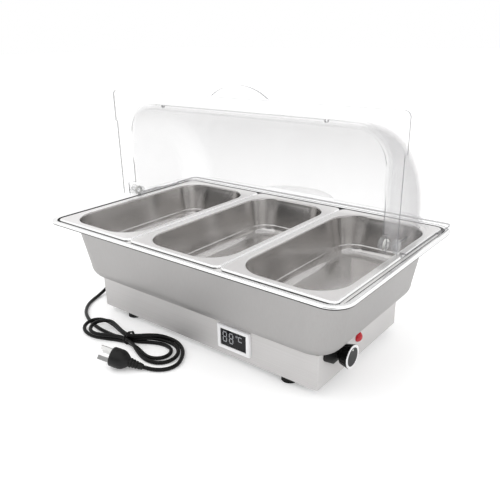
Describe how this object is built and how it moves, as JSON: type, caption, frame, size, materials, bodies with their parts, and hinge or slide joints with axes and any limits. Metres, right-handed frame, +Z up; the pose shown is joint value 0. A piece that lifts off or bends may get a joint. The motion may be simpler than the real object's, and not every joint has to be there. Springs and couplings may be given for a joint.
{
  "type": "electric buffet server",
  "caption": "Electric buffet server: heated water pan on a sheet housing with knob, lamp and display, lift-out food pans and a clear roll-top cover in two nesting halves, with a tied mains cord.",
  "frame": {"origin": "centre of the underside of the overall box without the cord, on the table", "axes": "+X along the long side towards the knob end, +Y towards the back, +Z up"},
  "size_m": [0.56, 0.4438, 0.384],
  "materials": {
    "housing_steel": "satin stainless sheet",
    "water_pan_steel": "satin pressed stainless, polished rim",
    "food_pan_steel": "polished pressed stainless",
    "bottom_steel": "plain zinc-plated sheet",
    "fastener_steel": "zinc-plated",
    "element_sheath": "heat-darkened sheath",
    "thermostat_case": "plated case",
    "spreader_aluminium": "plain sheet",
    "copper": "plain copper",
    "brass": "plain",
    "knob_chrome": "bright plated",
    "plug_pin_steel": "nickel-plated",
    "foot_rubber": "matt black",
    "black_phenolic": "matt black",
    "glass_wool": "pressed fibre",
    "ceramic": "glazed white",
    "wire_sleeve": "silicone sleeve",
    "dial_black": "black, semi-gloss",
    "knob_black": "black, semi-gloss",
    "knob_grey": "silver-grey insert",
    "pointer_white": "printed dot",
    "lamp_red": "clear red lens",
    "bezel_silver": "silver-white frame",
    "display_black": "dark window",
    "clear_cover": "clear polycarbonate",
    "hinge_clear": "clear polycarbonate",
    "washer_nylon": "natural nylon",
    "cord_black": "black PVC, slight gloss",
    "tie_black": "paper-covered wire twist",
    "plug_black": "moulded black PVC"
  },
  "bodies": {
    "base": {"housing_shell": "housing_steel", "bottom_cover": "bottom_steel", "bottom_screws": "fastener_steel", "foot_front_left": "foot_rubber", "foot_front_right": "foot_rubber", "foot_rear_left": "foot_rubber", "foot_rear_right": "foot_rubber", "foot_screws": "fastener_steel", "foot_nuts": "fastener_steel", "water_pan": "water_pan_steel", "pan_studs": "fastener_steel", "pan_nuts": "fastener_steel", "heat_spreader": "spreader_aluminium", "heating_element": "element_sheath", "element_clamps": "bottom_steel", "clamp_studs": "fastener_steel", "clamp_nuts": "fastener_steel", "thermal_cutout": "black_phenolic", "temperature_probe": "fastener_steel", "insulation_pad": "glass_wool", "terminal_block": "ceramic", "internal_wiring": "wire_sleeve", "earth_screw": "brass", "thermostat_body": "thermostat_case", "thermostat_bulb": "copper", "dial_plate": "dial_black", "pilot_lamp_lens": "lamp_red", "pilot_lamp_body": "black_phenolic", "display_bezel": "bezel_silver", "display_window": "display_black", "display_case": "black_phenolic", "cord_gland": "cord_black", "gland_nut": "black_phenolic", "power_cord": "cord_black", "cord_hank": "cord_black", "cord_tie": "tie_black", "plug_lead": "cord_black", "plug_body": "plug_black", "plug_pins": "plug_pin_steel"},
    "rear_cover_half": {"rear_cover": "clear_cover", "hinge_pin_left": "hinge_clear", "hinge_pin_right": "hinge_clear", "hinge_cap_left": "hinge_clear", "hinge_cap_right": "hinge_clear", "pivot_washers": "washer_nylon"},
    "front_cover_half": {"front_cover": "clear_cover"},
    "knob": {"thermostat_shaft": "fastener_steel", "knob_body": "knob_black", "knob_ring": "knob_chrome", "knob_face": "knob_grey", "knob_pointer": "pointer_white"},
    "food_pan_left_body": {"food_pan_left": "food_pan_steel"},
    "food_pan_centre_body": {"food_pan_centre": "food_pan_steel"},
    "food_pan_right_body": {"food_pan_right": "food_pan_steel"}
  },
  "joints": [
    {"name": "cover_lift", "type": "slide", "parent": "base", "child": "rear_cover_half", "axis": [0, 0, 1], "range_m": [0, 0.3]},
    {"name": "front_cover_roll", "type": "hinge", "parent": "rear_cover_half", "child": "front_cover_half", "pos_m": [0, -0.0095, 0.189], "axis": [1, 0, 0], "range_deg": [0, 90]},
    {"name": "thermostat_knob_turn", "type": "hinge", "parent": "base", "child": "knob", "pos_m": [0.23, -0.0755, 0.0465], "axis": [1, 0, 0], "range_deg": [0, 270]},
    {"name": "food_pan_left_lift", "type": "slide", "parent": "base", "child": "food_pan_left_body", "axis": [0, 0, 1], "range_m": [0, 0.12]},
    {"name": "food_pan_centre_lift", "type": "slide", "parent": "base", "child": "food_pan_centre_body", "axis": [0, 0, 1], "range_m": [0, 0.12]},
    {"name": "food_pan_right_lift", "type": "slide", "parent": "base", "child": "food_pan_right_body", "axis": [0, 0, 1], "range_m": [0, 0.12]}
  ],
  "couplings": [
    {"joint": "food_pan_left_lift", "follows": "cover_lift", "ratio": 0.4},
    {"joint": "food_pan_centre_lift", "follows": "cover_lift", "ratio": 0.4},
    {"joint": "food_pan_right_lift", "follows": "cover_lift", "ratio": 0.4}
  ]
}
